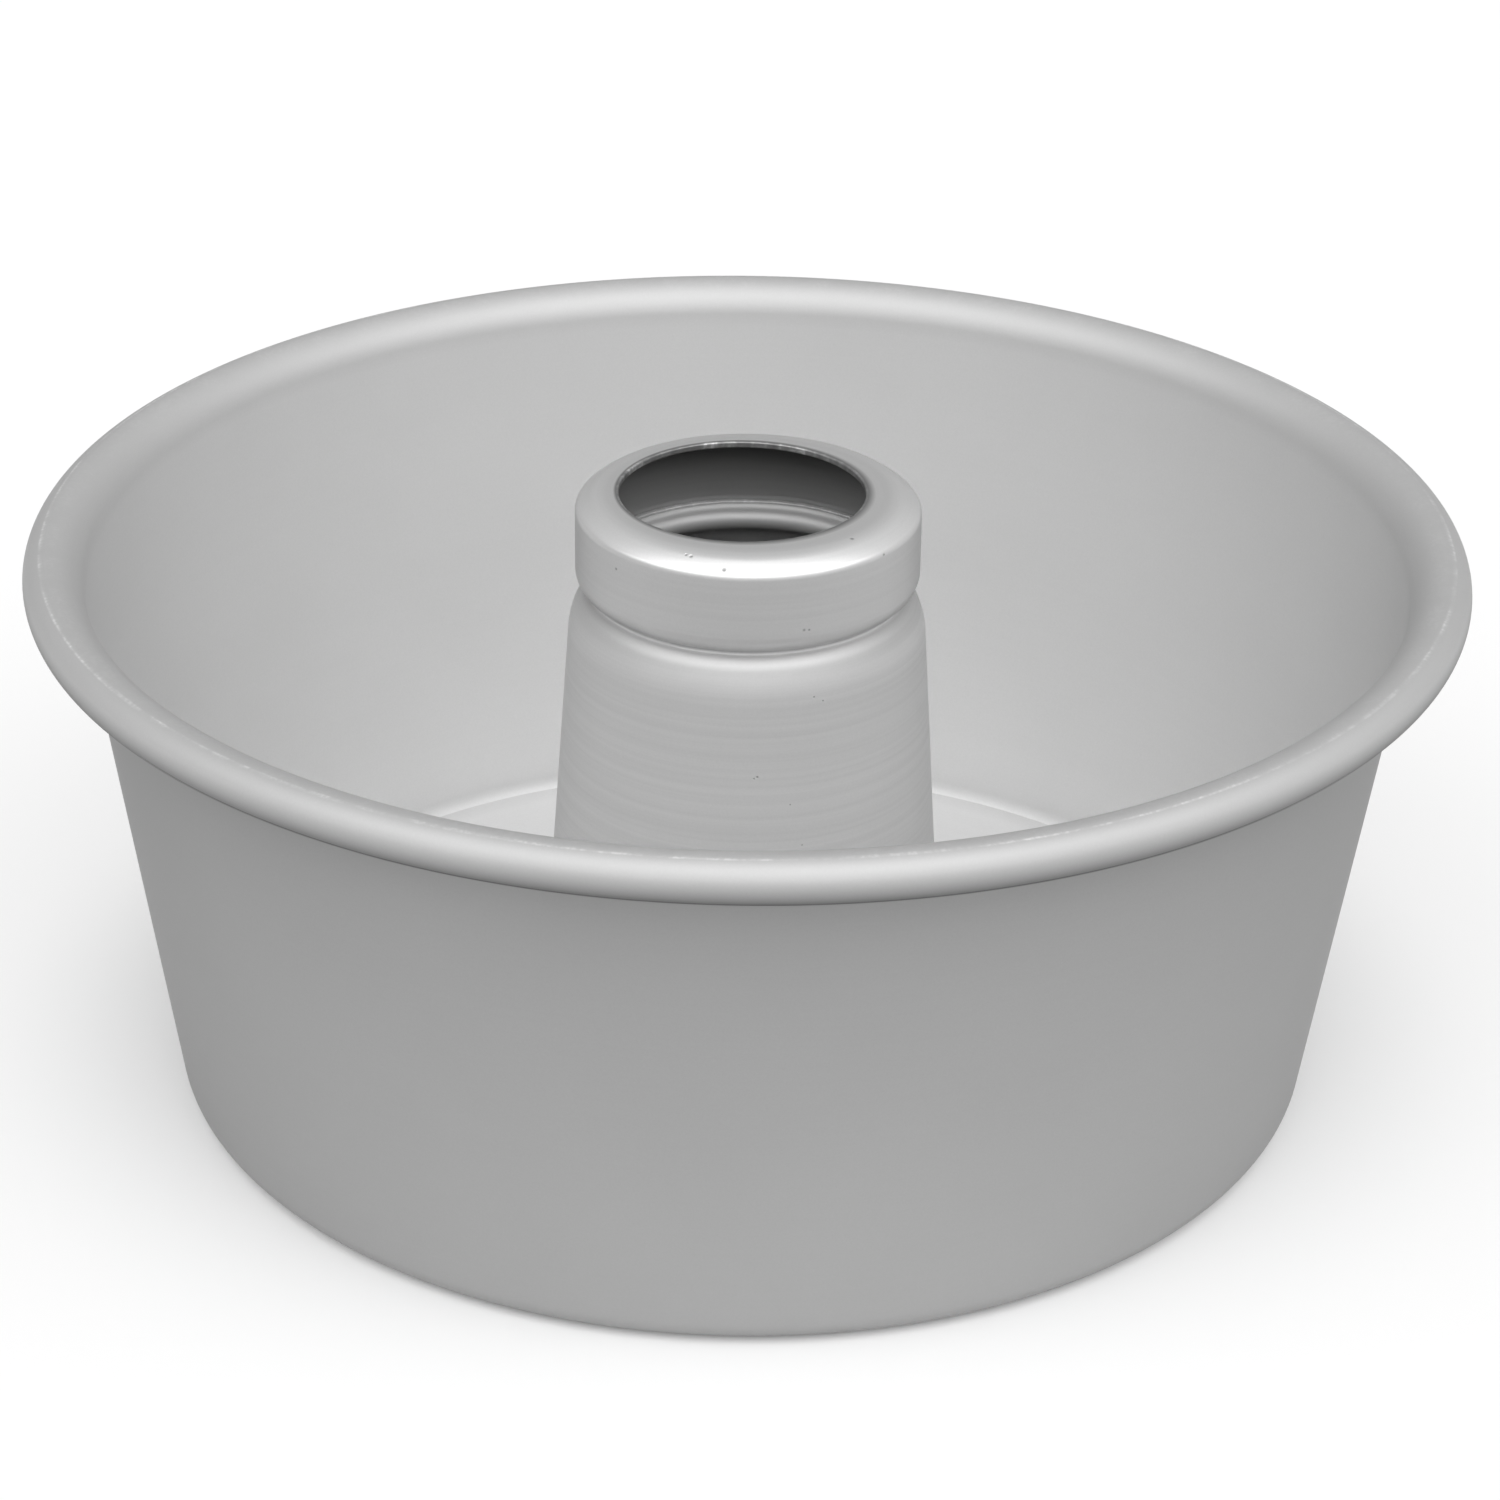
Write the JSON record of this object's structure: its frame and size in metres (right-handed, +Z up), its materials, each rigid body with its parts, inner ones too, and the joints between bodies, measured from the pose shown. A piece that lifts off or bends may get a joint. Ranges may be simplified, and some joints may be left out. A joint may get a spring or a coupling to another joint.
{
  "type": "angel food cake pan",
  "caption": "Round two-piece tube pan: tapered spun aluminium shell with a hollow curled rim, and a loose flat bottom that carries a tapered centre tube with an open collar.",
  "frame": {"origin": "on the axis of the pan, at the face that it stands on", "axes": "+Z up along the axis of the pan and its tube; the collar's opening is set slightly towards -X"},
  "size_m": [0.265, 0.265, 0.1149],
  "materials": {
    "satin_aluminium": "satin anodised, with faint spun lines",
    "turned_aluminium": "satin anodised, with turning lines round the axis and small pits"
  },
  "bodies": {
    "pan": {"pan_body": "satin_aluminium"},
    "core": {"base_plate": "satin_aluminium", "centre_tube": "turned_aluminium", "tube_collar": "turned_aluminium"}
  },
  "joints": [
    {"name": "core_lift", "type": "slide", "parent": "pan", "child": "core", "axis": [0, 0, 1], "range_m": [0, 0.12]}
  ]
}
